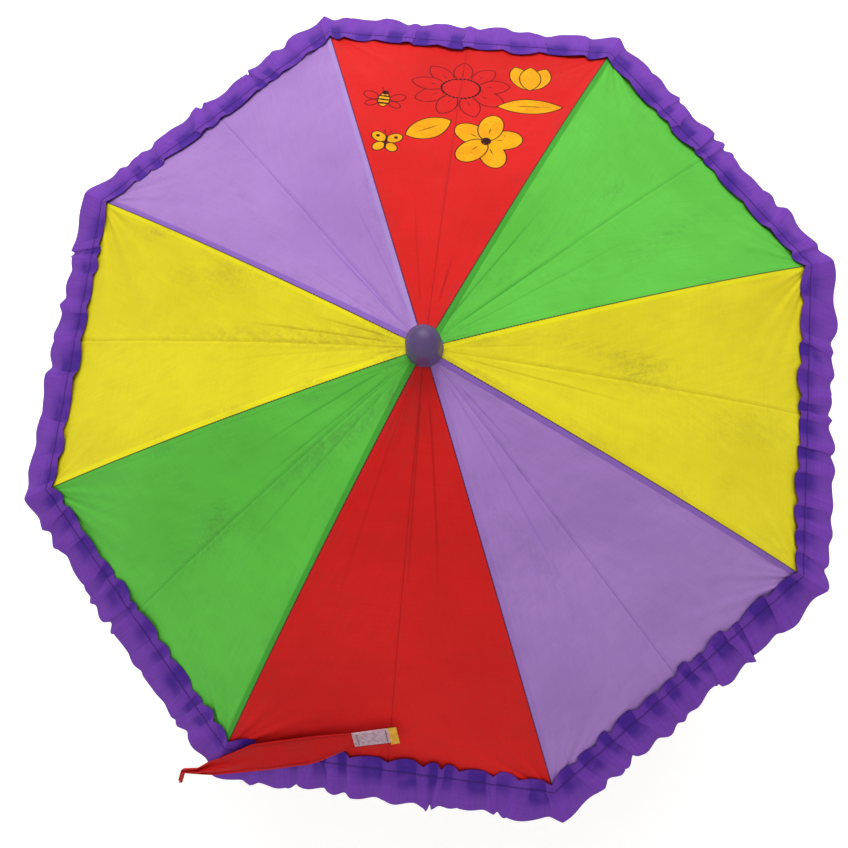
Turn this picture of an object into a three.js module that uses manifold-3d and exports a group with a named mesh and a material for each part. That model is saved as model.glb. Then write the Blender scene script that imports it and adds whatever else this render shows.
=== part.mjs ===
// A children's stick umbrella, open. Eight curved ribs are wired to a crown at the top of a steel shaft,
// and eight struts, riveted to the ribs, are wired to a runner that slides on the shaft. A canopy of eight
// gores with a gathered ruffle is sewn to the rib tips, and the shaft ends in a hooked handle.
// Millimetres, +Z up along the shaft, origin on the shaft's axis at the middle of the straight grip.
import * as THREE from "three";
import { mergeVertices } from "three/addons/utils/BufferGeometryUtils.js";
import Module from "manifold-3d";

const wasm = await Module();
wasm.setup();
const degree = Math.PI / 180;

// ---------------------------------------------------------------- driving dimensions
const ribCount = 8;
const ribLength = 365; // along the curve, from the crown's wire to the rib's end
const crownSlope = 11 * degree; // how far the open rib slopes down at the crown
const tipSlope = 29 * degree; // and at its tip
const closingTurn = 69 * degree; // how far a rib turns from open to closed
const crownHeight = 422; // the crown's wire above the origin
const wireRadius = 0.5;
const eyeRadius = 0.75; // the holes that the wire rings and rivets pass through

const ribWidth = 2.4;
const ribDepth = 2.8;
const ribWall = 0.5;
const strutWidth = 2.4;
const strutDepth = 2.4;
const strutWall = 0.5;
const tongueThickness = 1.0; // the flattened ends of ribs and struts
const tongueLength = 9;
const channelStart = 6; // from a wire ring to where the channel section begins
const strutAlongRib = 165; // along the rib, from the crown's wire to the strut's rivet
const rivetDrop = 0.3; // of the rivet below the middle of the rib's section
const forkPlate = 0.6;
const forkRadius = 1.3;
const bridgeLength = 4; // of the block that joins a strut's fork to its channel
const rivetHeadRadius = 1.1;
const rivetHeadHeight = 0.5;

const shaftRadius = 4;
const shaftWall = 0.6;
const shaftAboveCrown = 20;
const shaftInHandle = 29;
const slotWidth = 1.6; // in the crown and the runner, for the tongues
const hubWall = 1.3; // of the crown and the runner, between the shaft and their slots
const tongueClear = 0.3; // between the hub and the round end of a rib's tongue
const crownRim = 1.8; // of the crown past the wire ring
const crownSkirt = 8;
const crownFlange = 3; // of the slotted flange below the wire ring
const groovePlay = 0.2; // round the wire rings, in their grooves
const runnerRim = 3; // of the runner past the wire ring
const runnerFlange = 4.4;
const runnerCollar = 4; // of the hub above the wire ring
const runnerSleeveRadius = 8;
const runnerSleeveLength = 31;
const runnerLipRadius = 9.4;
const runnerLipHeight = 5;
const runnerTaper = 3; // above the lip

const canopyClear = 0.6; // of the canopy above the ribs
const canopyThickness = 0.8;
const canopySag = 4; // at the middle of a gore, between two ribs
const hemInset = 2; // the canopy's edge stops this far short of the rib's end
const canopyHoleRadius = 6;
const ruffleHeading = 10; // the gathered strip's narrow edge, on the canopy
const ruffleSkirt = 36; // and its wide edge, beyond the hem
const ruffleSlope = 34 * degree;
const ruffleThickness = 1;

const capRadius = 12.6;
const capHeight = 31;
const capDome = 11;
const capBore = 21;
const capBead = 0.8;
const capBeadHeight = 2;

const tipRadius = 2.6;
const tipLength = 6.5;
const tipGrip = 1.5; // of the tip over the rib's end

const gripLength = 75;
const handleRadius = 8.5;
const hookRadius = 24;
const hookTail = 14;
const collarHeight = 6;
const collarRadius = 10;
const collarBevel = 2;

const catchThickness = 1.5;
const catchReach = 2.1; // of the spring catch, past the shaft
const catchLeg = 34;
const catchNoseLength = 16;
const catchNoseFlat = 2; // the nose's square end
const catchFootWidth = 1.4;
const catchSpringGap = 0.6; // between the spring's back and the tube beside the window
const catchDirection = 22.5 * degree; // the catches point between two ribs
const windowPlay = 1.6; // of the shaft's windows, above and below a catch's nose

const strapWidth = 25;
const strapEndWidth = 15; // at the free end, with the patch
const strapTaper = 75; // the length over which it narrows
const strapThickness = 0.8;
const strapRun = 151; // from the rib it is sewn at to its free end
const strapTail = 28; // and from the rib to the fold past the ruffle
const strapTurn = 16.5 * degree; // from the line of the hem, towards the crown
const strapOutset = 12.5; // from the rib's end, outwards
const strapLift = 3; // over the fabric it lies on
const strapRib = 5; // counted from the first rib, which is number 0
const patchLength = 29; // of the hook-and-loop patch near the strap's free end
const patchWidth = 12;
const patchThickness = 1.2;
const patchInset = 6; // from the strap's free end

const gap = 0.3; // between pieces that touch
const past = 1; // how far a cutting shape goes past what it cuts
const running = 0.3; // between pieces that slide or turn

// ---------------------------------------------------------------- what follows from them
const sectorAngle = (2 * Math.PI) / ribCount;
const hubRadius = shaftRadius + hubWall; // of the crown and the runner inside their slots
// The wire rings hold the ribs and the struts clear of the hubs.
const wireRingRadius = hubRadius + tongueClear + ribDepth / 2;
const crownRadius = wireRingRadius + crownRim;
const runnerRadius = wireRingRadius + runnerRim;
const catchNose = shaftRadius + catchReach;
const ribCurve = ribLength / (tipSlope - crownSlope); // the open rib's radius of curvature
const hemLength = ribLength - hemInset;
const canopyUnder = ribDepth / 2 + canopyClear; // canopy's underside above the middle of the rib
const canopyOver = canopyUnder + canopyThickness;
const ruffleUnder = canopyOver + gap;

// A point of the rib's plane: along the rib from the crown's wire, and above the middle of its section.
function ribPoint(along, above = 0) {
  const slope = crownSlope + along / ribCurve;
  return new THREE.Vector3(
    wireRingRadius + ribCurve * (Math.sin(slope) - Math.sin(crownSlope)) + above * Math.sin(slope),
    0,
    crownHeight - ribCurve * (Math.cos(crownSlope) - Math.cos(slope)) + above * Math.cos(slope),
  );
}

const rivet = ribPoint(strutAlongRib, -rivetDrop);
const crownPivot = ribPoint(0);
// The strut is as long as the rib from crown to rivet, so its runner's wire stays below the crown's.
const strutLength = rivet.distanceTo(crownPivot);
const runnerHeight = 2 * rivet.z - crownHeight;
const strutSlope = Math.atan2(rivet.z - runnerHeight, rivet.x - wireRingRadius);
const ribSlopeAtRivet = crownSlope + strutAlongRib / ribCurve;
// The angle that is left between the strut and the rib's outer half when the umbrella is closed.
const closedSpread = Math.PI - (ribSlopeAtRivet + strutSlope + 2 * closingTurn);
const forkLength = ((ribDepth + strutDepth) / 2 + 2 * gap) / Math.sin(closedSpread);
const closedRunnerHeight = crownHeight - 2 * strutLength * Math.cos(Math.PI / 2 - strutSlope - closingTurn);

// ---------------------------------------------------------------- materials
const material = (color, roughness, metalness = 0) =>
  new THREE.MeshStandardMaterial({ color, roughness, metalness });
const steel = material(0xb9bcc2, 0.3, 1);
const springSteel = material(0x8f949c, 0.35, 1);
const purplePlastic = material(0x5f4d86, 0.35);
const whitePlastic = material(0xe9e6e0, 0.4);
const gores = {
  green: material(0x4fbf45, 0.8),
  red: material(0xd22525, 0.8),
  lavender: material(0xa07cc6, 0.8),
  yellow: material(0xe3d21f, 0.8),
};
const goreOrder = ["green", "red", "lavender", "yellow"];
const ruffleFabric = material(0x5a2a9c, 0.7);
const strapFabric = material(0xcc2020, 0.85);
const patchFabric = material(0xc9c7c2, 0.9);

// ---------------------------------------------------------------- helpers
function solidOf(geometry) {
  const loose = geometry.index ? geometry.toNonIndexed() : geometry;
  const bare = new THREE.BufferGeometry().setAttribute("position", loose.getAttribute("position"));
  const merged = mergeVertices(bare, 1e-3);
  return new wasm.Manifold(
    new wasm.Mesh({
      numProp: 3,
      vertProperties: merged.attributes.position.array,
      triVerts: new Uint32Array(merged.index.array),
    }),
  );
}

function geometryOf(solid) {
  const mesh = solid.getMesh();
  return new THREE.BufferGeometry()
    .setAttribute("position", new THREE.BufferAttribute(mesh.vertProperties, 3))
    .setIndex(new THREE.BufferAttribute(mesh.triVerts, 1));
}

function addPiece(parent, name, geometry, finish) {
  const mesh = new THREE.Mesh(geometry, finish);
  mesh.name = name;
  parent.add(mesh);
  return mesh;
}

// A solid of revolution about Z from a closed outline of [radius, height] points.
function turned(outline, segments) {
  const points = outline.map(([radius, height]) => new THREE.Vector2(radius, height));
  return new THREE.LatheGeometry(points, segments).rotateX(Math.PI / 2);
}

// A bar along Z from one height to another.
function bar(radius, from, to, segments = 16) {
  return new THREE.CylinderGeometry(radius, radius, to - from, segments)
    .rotateX(Math.PI / 2)
    .translate(0, 0, (from + to) / 2);
}

function box(from, to) {
  const size = to.map((end, axis) => end - from[axis]);
  const middle = to.map((end, axis) => (end + from[axis]) / 2);
  return new THREE.BoxGeometry(...size).translate(...middle);
}

// A plate in the XZ plane, as thick as asked, centred on that plane.
function plate(shape, thickness, curveSegments = 6) {
  return new THREE.ExtrudeGeometry(shape, { depth: thickness, bevelEnabled: false, curveSegments })
    .rotateX(Math.PI / 2)
    .translate(0, thickness / 2, 0);
}

// A box whose three unit sides are carried onto a curved slab by a function of three numbers from 0 to 1.
function slab(lengthSteps, widthSteps, place) {
  const geometry = new THREE.BoxGeometry(1, 1, 1, lengthSteps, widthSteps, 1);
  const position = geometry.getAttribute("position");
  for (let i = 0; i < position.count; i++) {
    const point = place(position.getX(i) + 0.5, position.getY(i) + 0.5, position.getZ(i) + 0.5);
    position.setXYZ(i, point.x, point.y, point.z);
  }
  return geometry;
}

class PlaneCurve extends THREE.Curve {
  constructor(place) {
    super();
    this.place = place;
  }
  getPoint(share, target = new THREE.Vector3()) {
    return target.copy(this.place(share));
  }
}

// A folded steel channel, open on its lower side. The shape's Y runs down when it is swept.
function channelShape(width, depth, wall) {
  const x = width / 2;
  const y = depth / 2;
  return new THREE.Shape([
    new THREE.Vector2(-x, -y),
    new THREE.Vector2(x, -y),
    new THREE.Vector2(x, y),
    new THREE.Vector2(x - wall, y),
    new THREE.Vector2(x - wall, wall - y),
    new THREE.Vector2(wall - x, wall - y),
    new THREE.Vector2(wall - x, y),
    new THREE.Vector2(-x, y),
  ]);
}

// A strip with one round end about the origin, running along X.
function tongueShape(radius, length) {
  const shape = new THREE.Shape();
  shape.absarc(0, 0, radius, Math.PI / 2, (3 * Math.PI) / 2, false);
  shape.lineTo(length, -radius);
  shape.lineTo(length, radius);
  shape.closePath();
  return shape;
}

// A cross hole along Y at the origin.
const eye = () => solidOf(new THREE.CylinderGeometry(eyeRadius, eyeRadius, 4 * ribWidth, 10));

// ---------------------------------------------------------------- ribs, struts and their rivets
function ribGeometry() {
  const curve = new PlaneCurve((share) => ribPoint(channelStart + share * (ribLength - channelStart)));
  const channel = new THREE.ExtrudeGeometry(channelShape(ribWidth, ribDepth, ribWall), {
    extrudePath: curve,
    steps: 9,
    bevelEnabled: false,
  });
  const tongue = solidOf(plate(tongueShape(ribDepth / 2, tongueLength), tongueThickness))
    .subtract(eye())
    .rotate([0, crownSlope / degree, 0])
    .translate(crownPivot.toArray());
  const rivetHole = eye().translate(rivet.toArray());
  return geometryOf(solidOf(channel).add(tongue).subtract(rivetHole));
}

// The strut lies along X here, from its rivet at the origin to its eye in the runner.
function strutGeometry() {
  const forkReach = ribWidth / 2 + gap;
  const ear = (side) =>
    solidOf(plate(tongueShape(forkRadius, forkLength + bridgeLength), forkPlate)).translate([
      0,
      side * (forkReach + forkPlate / 2),
      0,
    ]);
  const bridge = solidOf(
    box(
      [forkLength, -forkReach - forkPlate, -strutDepth / 2],
      [forkLength + bridgeLength, forkReach + forkPlate, strutDepth / 2],
    ),
  );
  const start = forkLength + bridgeLength / 4;
  const line = new PlaneCurve(
    (share) => new THREE.Vector3(start + share * (strutLength - channelStart - start), 0, 0),
  );
  const channel = new THREE.ExtrudeGeometry(channelShape(strutWidth, strutDepth, strutWall), {
    extrudePath: line,
    steps: 1,
    bevelEnabled: false,
  });
  const tongue = solidOf(plate(tongueShape(strutDepth / 2, tongueLength), tongueThickness))
    .subtract(eye())
    .rotate([0, 0, 180])
    .translate([strutLength, 0, 0]);
  const shank = solidOf(
    new THREE.CylinderGeometry(wireRadius, wireRadius, 2 * (forkReach + forkPlate + rivetHeadHeight), 10),
  );
  const head = (side) =>
    solidOf(new THREE.CylinderGeometry(rivetHeadRadius, rivetHeadRadius, rivetHeadHeight, 10)).translate([
      0,
      side * (forkReach + forkPlate + 0.4 * rivetHeadHeight),
      0,
    ]);
  return geometryOf(
    ear(1)
      .add(ear(-1))
      .add(bridge)
      .add(solidOf(channel))
      .add(tongue)
      .add(shank)
      .add(head(1))
      .add(head(-1)),
  );
}

// A moulded tip that the rib's end is pushed into, with a round nose.
function tipGeometry() {
  const bore = Math.hypot(ribWidth, ribDepth) / 2 + 0.2;
  const nose = Array.from({ length: 4 }, (_, i) => {
    const turn = ((i + 1) * Math.PI) / 8;
    return [tipRadius * Math.cos(turn), tipLength - tipRadius * (1 - Math.sin(turn))];
  });
  nose[nose.length - 1][0] = 0;
  const outline = [
    [0, gap],
    [bore, gap],
    [bore, -tipGrip],
    [tipRadius, -tipGrip],
    [tipRadius, tipLength - tipRadius],
    ...nose,
  ];
  const end = ribPoint(ribLength);
  return turned(outline, 10)
    .rotateY(Math.PI / 2 + tipSlope)
    .translate(end.x, end.y, end.z);
}

// ---------------------------------------------------------------- canopy and ruffle
// The canopy's height over a place on the plan, which each gore spans with straight lines from rib to rib.
function alongAt(radius) {
  const sine = (radius - wireRingRadius) / ribCurve + Math.sin(crownSlope);
  return ribCurve * (Math.asin(sine) - crownSlope);
}

// A point of a gore: along its ribs, from 0 at this rib to 0.5 at the gore's middle line, and above the rib.
// side is 1 for the gore that follows this rib anticlockwise, -1 for the one before it.
function gorePoint(along, across, above, side) {
  const here = ribPoint(along, above);
  const next = here.clone().applyAxisAngle(new THREE.Vector3(0, 0, 1), side * sectorAngle);
  const sag = canopySag * 16 * across ** 2 * (1 - across) ** 2 * Math.sin((Math.PI * along) / hemLength);
  return here.lerp(next, across).add(new THREE.Vector3(0, 0, -sag));
}

// Half of a gore, from the seam over its rib to the gore's middle line, which is where it folds.
function goreGeometry(side) {
  const inner = alongAt(canopyHoleRadius);
  return slab(10, 3, (u, v, w) => {
    const along = inner + u * (hemLength - inner);
    const edge = gap / 2 / (2 * ribPoint(along).x * Math.sin(sectorAngle / 2));
    const share = side > 0 ? v : 1 - v;
    return gorePoint(along, edge + share * (0.5 - 2 * edge), canopyUnder + w * canopyThickness, side);
  });
}

// How high a layer over the canopy is at a place on a rib's plan: on the gore, or on the ruffle beyond it.
function layerHeight(x, y, above) {
  const middle = Math.sign(y || 1) * (sectorAngle / 2);
  const radius = (x * Math.cos(middle) + y * Math.sin(middle)) / Math.cos(middle);
  const hem = ribPoint(hemLength, above);
  if (radius < hem.x) return ribPoint(alongAt(radius - above * Math.sin(tipSlope)), above).z;
  return hem.z - (radius - hem.x) * Math.cos(middle) * Math.tan(ruffleSlope);
}

// The ruffle along one rib's share of the hem, from one gore's middle line round the rib's tip to the next.
function ruffleGeometry() {
  const hemRadius = ribPoint(hemLength).x;
  const halfHem = hemRadius * Math.sin(sectorAngle / 2);
  return slab(14, 3, (u, v, w) => {
    const position = 1 - 2 * u;
    const side = Math.sign(position) || 1;
    const alongHem = Math.abs(position) * (halfHem - gap / 2);
    // The strip fans out round the corner, and lies square to the hem away from it.
    const fan = (sectorAngle / 2) * Math.min(1, alongHem / ruffleSkirt);
    const beyondHem = v * (ruffleHeading + ruffleSkirt) - ruffleHeading;
    const reach = beyondHem * Math.cos(beyondHem > 0 ? ruffleSlope : tipSlope);
    const x = hemRadius - alongHem * Math.sin(sectorAngle / 2) + reach * Math.cos(fan);
    const y = side * (alongHem * Math.cos(sectorAngle / 2) + reach * Math.sin(fan));
    return new THREE.Vector3(x, y, layerHeight(x, y, ruffleUnder + w * ruffleThickness));
  });
}

// ---------------------------------------------------------------- tie strap
// A point of the strap in its rib's plan. Distances are positive along the run, negative along the tail.
function strapPoint(distance, across, above) {
  const direction = Math.PI / 2 + sectorAngle / 2 + strapTurn;
  const start = ribPoint(hemLength).x + strapOutset;
  const x = start + distance * Math.cos(direction) + across * Math.sin(direction);
  const y = distance * Math.sin(direction) - across * Math.cos(direction);
  return new THREE.Vector3(x, y, layerHeight(x, y, above));
}

function strapGeometry() {
  const under = ruffleUnder + ruffleThickness + strapLift;
  return slab(24, 2, (u, v, w) => {
    const distance = -strapTail + u * (strapTail + strapRun);
    const taper = Math.min(1, (strapRun - distance) / strapTaper);
    const width = strapEndWidth + (strapWidth - strapEndWidth) * taper;
    return strapPoint(distance, (0.5 - v) * width, under + w * strapThickness);
  });
}

function patchGeometry() {
  const under = ruffleUnder + ruffleThickness + strapLift + strapThickness + gap;
  return slab(3, 2, (u, v, w) => {
    const distance = strapRun - patchInset - (1 - u) * patchLength;
    return strapPoint(distance, (0.5 - v) * patchWidth, under + w * patchThickness);
  });
}

// ---------------------------------------------------------------- crown, runner and their wires
// A flanged sleeve on the shaft, with a slot for each rib or strut and a groove for the wire ring.
function notchedFlange(outline, flangeRadius, flangeLow, flangeHigh) {
  const grooveHalf = wireRadius + groovePlay;
  const grooveBottom = wireRingRadius - grooveHalf;
  let flange = solidOf(turned(outline, 32));
  const groove = solidOf(
    turned(
      [
        [grooveBottom, -grooveHalf],
        [flangeRadius + past, -grooveHalf],
        [flangeRadius + past, grooveHalf],
        [grooveBottom, grooveHalf],
        [grooveBottom, -grooveHalf],
      ],
      32,
    ),
  );
  flange = flange.subtract(groove);
  const slotEnd = flangeRadius + past;
  const slot = solidOf(
    box([hubRadius, -slotWidth / 2, flangeLow - past], [slotEnd, slotWidth / 2, flangeHigh + past]),
  );
  for (let i = 0; i < ribCount; i++) {
    flange = flange.subtract(slot.rotate([0, 0, (i * sectorAngle) / degree]));
  }
  return flange;
}

function crownGeometry() {
  const bore = shaftRadius + gap / 2;
  // The crown's top follows the canopy's slope.
  const top = (radius) =>
    canopyUnder / Math.cos(crownSlope) - (radius - wireRingRadius) * Math.tan(crownSlope) - 1.5 * gap;
  const outline = [
    [bore, -crownSkirt],
    [hubRadius, -crownSkirt],
    [hubRadius, -crownFlange],
    [crownRadius, -crownFlange],
    [crownRadius, top(crownRadius)],
    [bore, top(bore)],
    [bore, -crownSkirt],
  ];
  return geometryOf(notchedFlange(outline, crownRadius, -crownFlange, top(bore)));
}

function runnerGeometry() {
  const bore = shaftRadius + running;
  const half = runnerFlange / 2;
  const bottom = -half - runnerSleeveLength;
  const outline = [
    [bore, bottom],
    [runnerLipRadius, bottom],
    [runnerLipRadius, bottom + runnerLipHeight],
    [runnerSleeveRadius, bottom + runnerLipHeight + runnerTaper],
    [runnerSleeveRadius, -half - 1],
    [runnerRadius, -half],
    [runnerRadius, half],
    [hubRadius, half],
    [hubRadius, runnerCollar],
    [bore, runnerCollar],
    [bore, bottom],
  ];
  // The keyway that the spring catches stand in as the runner passes them.
  const keyway = solidOf(
    box(
      [0, -catchThickness / 2 - running, bottom - past],
      [catchNose + running, catchThickness / 2 + running, runnerCollar + past],
    ),
  ).rotate([0, 0, catchDirection / degree]);
  return geometryOf(notchedFlange(outline, runnerRadius, -half, half).subtract(keyway));
}

const wireRing = () => new THREE.TorusGeometry(wireRingRadius, wireRadius, 6, 24);

// ---------------------------------------------------------------- shaft, catches, cap and handle
const openCatchHeight = runnerHeight - runnerFlange / 2 - runnerSleeveLength - gap;
const closedCatchHeight = closedRunnerHeight - runnerSleeveLength;
const handleTop = gripLength / 2;

function shaftGeometry() {
  const tube = solidOf(
    turned(
      [
        [shaftRadius - shaftWall, handleTop - shaftInHandle],
        [shaftRadius, handleTop - shaftInHandle],
        [shaftRadius, crownHeight + shaftAboveCrown],
        [shaftRadius - shaftWall, crownHeight + shaftAboveCrown],
        [shaftRadius - shaftWall, handleTop - shaftInHandle],
      ],
      24,
    ),
  );
  const window = (low, high) =>
    solidOf(
      box([0, -catchThickness / 2 - gap, low], [shaftRadius + past, catchThickness / 2 + gap, high]),
    ).rotate([0, 0, catchDirection / degree]);
  return geometryOf(
    tube
      .subtract(window(openCatchHeight - catchNoseLength - windowPlay, openCatchHeight + windowPlay))
      .subtract(window(closedCatchHeight - windowPlay, closedCatchHeight + catchNoseLength + windowPlay)),
  );
}

// A flat spring in the shaft. Its foot is wedged against the tube, and its nose stands out of a window.
// up is 1 where the nose's square edge faces up and holds the open runner, -1 where it faces down.
function catchGeometry(up) {
  const wall = shaftRadius - shaftWall;
  const foot = catchFootWidth / 2 - wall;
  const outline = [
    [foot, -catchLeg],
    [foot + catchFootWidth, -catchLeg],
    [wall - catchSpringGap, -catchNoseLength],
    [catchNose, -catchNoseFlat],
    [catchNose, 0],
    [shaftWall, 0],
    [0, catchNoseFlat - catchNoseLength],
  ];
  const shape = new THREE.Shape(outline.map(([x, z]) => new THREE.Vector2(x, up * z)));
  return plate(shape, catchThickness);
}

function capGeometry() {
  const bore = shaftRadius + gap / 2;
  const rise = capHeight - capDome;
  // The cap's underside follows the canopy's slope.
  const under = (radius) => canopyOver + gap - (radius - wireRingRadius) * Math.tan(crownSlope);
  const base = canopyOver + 2 * gap;
  const dome = Array.from({ length: 6 }, (_, i) => {
    const turn = ((i + 1) * Math.PI) / 12;
    return [capRadius * Math.cos(turn), base + rise + capDome * Math.sin(turn)];
  });
  dome[dome.length - 1][0] = 0;
  const outline = [
    [0, base + capBore],
    [bore, base + capBore],
    [bore, base],
    [wireRingRadius, base],
    [capRadius + capBead, under(capRadius + capBead) + gap],
    [capRadius + capBead, base + capBeadHeight],
    [capRadius, base + capBeadHeight + capBead],
    [capRadius, base + rise],
    ...dome,
  ];
  return turned(outline, 28);
}

// The grip runs down the shaft's axis, turns half round and ends in a short tail that points up.
function handleGeometry() {
  const bend = Math.PI * hookRadius;
  const total = gripLength + bend + hookTail;
  const path = new PlaneCurve((share) => {
    const distance = share * total;
    if (distance <= gripLength) return new THREE.Vector3(0, 0, handleTop - distance);
    const turn = Math.min(distance - gripLength, bend) / hookRadius;
    const tail = Math.max(0, distance - gripLength - bend);
    return new THREE.Vector3(
      hookRadius * (1 - Math.cos(turn)),
      0,
      handleTop - gripLength - hookRadius * Math.sin(turn) + tail,
    );
  });
  const section = new THREE.Shape().absarc(0, 0, handleRadius, 0, 2 * Math.PI, false);
  const hook = new THREE.ExtrudeGeometry(section, {
    extrudePath: path,
    steps: 26,
    curveSegments: 8,
    bevelEnabled: false,
  });
  const socket = bar(shaftRadius + gap / 2, handleTop - shaftInHandle - gap, handleTop + past, 24);
  return geometryOf(solidOf(hook).subtract(solidOf(socket)));
}

function collarGeometry() {
  const bore = shaftRadius + gap / 2;
  const low = handleTop + gap;
  const outline = [
    [bore, low],
    [collarRadius, low],
    [collarRadius, low + collarHeight - collarBevel],
    [collarRadius - collarBevel, low + collarHeight],
    [bore, low + collarHeight],
    [bore, low],
  ];
  return turned(outline, 24);
}

// ---------------------------------------------------------------- assembly
const umbrella = new THREE.Group();

addPiece(umbrella, "shaft_tube", shaftGeometry(), steel);
addPiece(umbrella, "crown_notch", crownGeometry(), whitePlastic).position.z = crownHeight;
addPiece(umbrella, "crown_wire", wireRing(), steel).position.z = crownHeight;
addPiece(umbrella, "ferrule_cap", capGeometry(), purplePlastic).position.z = crownHeight;
addPiece(umbrella, "runner_sleeve", runnerGeometry(), whitePlastic).position.z = runnerHeight;
addPiece(umbrella, "runner_wire", wireRing(), steel).position.z = runnerHeight;
addPiece(umbrella, "handle", handleGeometry(), purplePlastic);
addPiece(umbrella, "handle_collar", collarGeometry(), steel);

const catches = new THREE.Group();
catches.rotation.z = catchDirection;
umbrella.add(catches);
addPiece(catches, "open_catch", catchGeometry(1), springSteel).position.z = openCatchHeight;
addPiece(catches, "closed_catch", catchGeometry(-1), springSteel).position.z = closedCatchHeight;

for (let i = 0; i < ribCount; i++) {
  const sector = new THREE.Group();
  sector.rotation.z = i * sectorAngle;
  umbrella.add(sector);
  const number = i + 1;
  const before = ((i + ribCount - 1) % ribCount) + 1;
  addPiece(sector, `rib_${number}`, ribGeometry(), steel);
  addPiece(sector, `rib_tip_${number}`, tipGeometry(), whitePlastic);
  const strut = addPiece(sector, `strut_${number}`, strutGeometry(), steel);
  strut.position.copy(rivet);
  strut.rotation.y = Math.PI - strutSlope;
  const colourAfter = goreOrder[i % goreOrder.length];
  const colourBefore = goreOrder[(i + ribCount - 1) % goreOrder.length];
  addPiece(sector, `${colourAfter}_gore_${number}_first_half`, goreGeometry(1), gores[colourAfter]);
  addPiece(sector, `${colourBefore}_gore_${before}_second_half`, goreGeometry(-1), gores[colourBefore]);
  addPiece(sector, `ruffle_${number}`, ruffleGeometry(), ruffleFabric);
  if (i === strapRib) {
    addPiece(sector, "tie_strap", strapGeometry(), strapFabric);
    addPiece(sector, "strap_patch", patchGeometry(), patchFabric);
  }
}

export default umbrella;
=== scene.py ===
"""A children's stick umbrella, open, seen from above: eight coloured gores, a gathered ruffle and a tie strap.

Metres, +Z up along the shaft, origin on the shaft's axis at the middle of the handle's grip, as in the frame.
"""

import math

import bpy
import numpy as np
from mathutils import Matrix, Vector


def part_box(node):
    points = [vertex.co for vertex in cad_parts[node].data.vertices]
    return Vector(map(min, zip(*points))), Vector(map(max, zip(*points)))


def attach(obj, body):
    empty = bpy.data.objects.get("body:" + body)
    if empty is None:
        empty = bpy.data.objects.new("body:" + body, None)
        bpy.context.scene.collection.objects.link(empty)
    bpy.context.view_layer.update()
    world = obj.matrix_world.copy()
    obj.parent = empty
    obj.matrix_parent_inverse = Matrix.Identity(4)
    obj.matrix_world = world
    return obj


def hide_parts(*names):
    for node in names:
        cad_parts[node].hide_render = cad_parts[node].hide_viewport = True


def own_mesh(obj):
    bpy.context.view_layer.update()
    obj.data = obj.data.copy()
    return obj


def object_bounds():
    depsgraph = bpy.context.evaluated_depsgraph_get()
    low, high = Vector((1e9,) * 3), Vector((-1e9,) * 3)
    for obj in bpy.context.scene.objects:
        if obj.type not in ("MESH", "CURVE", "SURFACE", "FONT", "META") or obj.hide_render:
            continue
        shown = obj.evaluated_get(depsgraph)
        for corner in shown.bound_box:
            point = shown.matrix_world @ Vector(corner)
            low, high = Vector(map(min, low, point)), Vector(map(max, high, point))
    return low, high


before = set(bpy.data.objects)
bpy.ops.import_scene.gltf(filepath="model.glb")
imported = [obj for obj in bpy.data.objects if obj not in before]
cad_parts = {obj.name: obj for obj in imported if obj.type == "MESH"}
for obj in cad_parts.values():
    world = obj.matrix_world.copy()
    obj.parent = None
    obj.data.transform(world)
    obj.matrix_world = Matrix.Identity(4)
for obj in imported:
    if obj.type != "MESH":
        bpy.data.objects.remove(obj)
cad_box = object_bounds()

# ---- the open canopy's shape, as the frame has it
RIB_COUNT = 8
SECTOR = 2 * math.pi / RIB_COUNT
HALF_SIN, HALF_COS = math.sin(SECTOR / 2), math.cos(SECTOR / 2)
RIB_LENGTH = 0.365
HEM = 0.363  # the hem's place along a rib
CROWN_SLOPE = math.radians(11)
TIP_SLOPE = math.radians(29)
RUFFLE_SLOPE = math.radians(34)
RIB_CURVE = RIB_LENGTH / (TIP_SLOPE - CROWN_SLOPE)
WIRE_RING = 0.007
CROWN_HEIGHT = sum(corner.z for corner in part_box("crown_wire")) / 2
CLOTH_ABOVE = 0.0024  # the cloth's middle above the middle of a rib
RUFFLE_ABOVE = 0.0031
SAG = 0.004
CLOTH_THICKNESS = 0.0003
BANDS = (-0.001, 0.0125, 0.0277, 0.050, 0.0956, 0.160, HEM)  # where a gore is split along its ribs, to fold up close
BAND_NAMES = ("top", "neck", "shoulder", "upper", "middle", "lower")
BAND_ROWS = (12, 14, 18, 28, 36, 88)
BAND_COLUMNS = (30, 38, 48, 60, 72, 84)
LAST_BAND = len(BAND_NAMES) - 1
COLOURS = ("green", "red", "lavender", "yellow")
PRINTED_GORE = 2
STRAP_RIB = 6


def colour_of(gore):
    return COLOURS[(gore - 1) % len(COLOURS)]


def after(gore):
    """The rib that comes after a gore's own."""
    return gore % RIB_COUNT + 1


def rib_azimuth(rib):
    return (rib - 1) * SECTOR


def rib_point(along, above=0.0):
    """Radius and height of a place along the ribs' curve, and above it."""
    slope = CROWN_SLOPE + along / RIB_CURVE
    radius = WIRE_RING + RIB_CURVE * (np.sin(slope) - math.sin(CROWN_SLOPE)) + above * np.sin(slope)
    height = CROWN_HEIGHT - RIB_CURVE * (math.cos(CROWN_SLOPE) - np.cos(slope)) + above * np.cos(slope)
    return radius, height


def along_at(radius):
    sine = (radius - WIRE_RING) / RIB_CURVE + math.sin(CROWN_SLOPE)
    return RIB_CURVE * (np.arcsin(sine) - CROWN_SLOPE)


def smooth(value, low, high):
    """0 at low, 1 at high, and smooth between them."""
    share = np.clip((value - low) / (high - low), 0, 1)
    return share * share * (3 - 2 * share)


def bell(value, width):
    return np.exp(-((value / width) ** 2))


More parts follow.
